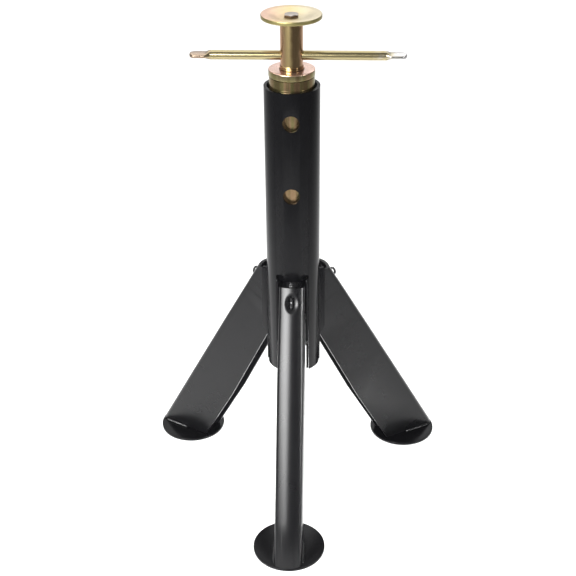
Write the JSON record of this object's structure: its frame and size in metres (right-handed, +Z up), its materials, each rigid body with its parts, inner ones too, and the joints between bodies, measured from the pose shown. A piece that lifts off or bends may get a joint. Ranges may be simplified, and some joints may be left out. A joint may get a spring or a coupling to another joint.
{
  "type": "tripod screw jack stand",
  "caption": "Tripod jack stand: slotted tube on folding channel legs, a pinned sliding inner tube, and a T-bar screw with a swivel load pad.",
  "frame": {"origin": "on the ground, at the centre of the box round the whole stand", "axes": "+Z up along the tube, the front leg points along -Y, +X to the right seen from the front leg"},
  "size_m": [0.3536, 0.317, 0.57],
  "materials": {
    "black_paint": "glossy black powder coat",
    "yellow_zinc": "yellow chromate zinc plate with pink and olive iridescence",
    "bright_zinc": "bright zinc plate",
    "spring_steel": "dark spring wire"
  },
  "bodies": {
    "stand": {"stand_tube": "black_paint", "stop_ring": "black_paint", "spring_ring": "spring_steel", "hinge_plate_front_1": "black_paint", "hinge_plate_front_2": "black_paint", "hinge_pin_front": "spring_steel", "hinge_plate_right_1": "black_paint", "hinge_plate_right_2": "black_paint", "hinge_pin_right": "spring_steel", "hinge_plate_left_1": "black_paint", "hinge_plate_left_2": "black_paint", "hinge_pin_left": "spring_steel"},
    "leg_front": {"leg_front": "black_paint", "foot_plate_front": "black_paint", "leg_spring_front": "spring_steel"},
    "leg_right": {"leg_right": "black_paint", "foot_plate_right": "black_paint", "leg_spring_right": "spring_steel"},
    "leg_left": {"leg_left": "black_paint", "foot_plate_left": "black_paint", "leg_spring_left": "spring_steel"},
    "inner": {"inner_tube": "yellow_zinc", "jack_nut": "yellow_zinc"},
    "pad": {"swivel_pad": "yellow_zinc"},
    "screw": {"jack_screw": "yellow_zinc", "pad_bolt": "bright_zinc"},
    "t_bar": {"t_bar": "yellow_zinc"}
  },
  "joints": [
    {"name": "leg_front_fold", "type": "hinge", "parent": "stand", "child": "leg_front", "pos_m": [0, 0.01935, 0.225], "axis": [1, 0, 0], "range_deg": [0, 25], "stiffness_Nm_per_rad": 1.84, "springref_deg": -57.3, "deforming": ["leg_spring_front"]},
    {"name": "leg_right_fold", "type": "hinge", "parent": "stand", "child": "leg_right", "pos_m": [0.01732, 0.04935, 0.225], "axis": [-0.5, 0.866, 0], "range_deg": [0, 25], "stiffness_Nm_per_rad": 1.84, "springref_deg": -57.3, "deforming": ["leg_spring_right"]},
    {"name": "leg_left_fold", "type": "hinge", "parent": "stand", "child": "leg_left", "pos_m": [-0.01732, 0.04935, 0.225], "axis": [-0.5, -0.866, 0], "range_deg": [0, 25], "stiffness_Nm_per_rad": 1.84, "springref_deg": -57.3, "deforming": ["leg_spring_left"]},
    {"name": "inner_tube_slide", "type": "slide", "parent": "stand", "child": "inner", "axis": [0, 0, 1], "range_m": [0, 0.1245]},
    {"name": "screw_lift", "type": "slide", "parent": "inner", "child": "pad", "axis": [0, 0, 1], "range_m": [0, 0.06]},
    {"name": "screw_turn", "type": "hinge", "parent": "pad", "child": "screw", "pos_m": [0, 0.03935, 0.54], "axis": [0, 0, 1], "range_deg": [0, 5400]},
    {"name": "t_bar_slide", "type": "slide", "parent": "screw", "child": "t_bar", "axis": [1, 0, 0], "range_m": [-0.083, 0.07]}
  ],
  "couplings": [
    {"joint": "screw_lift", "follows": "screw_turn", "m_per_rad": 0.00063662}
  ]
}
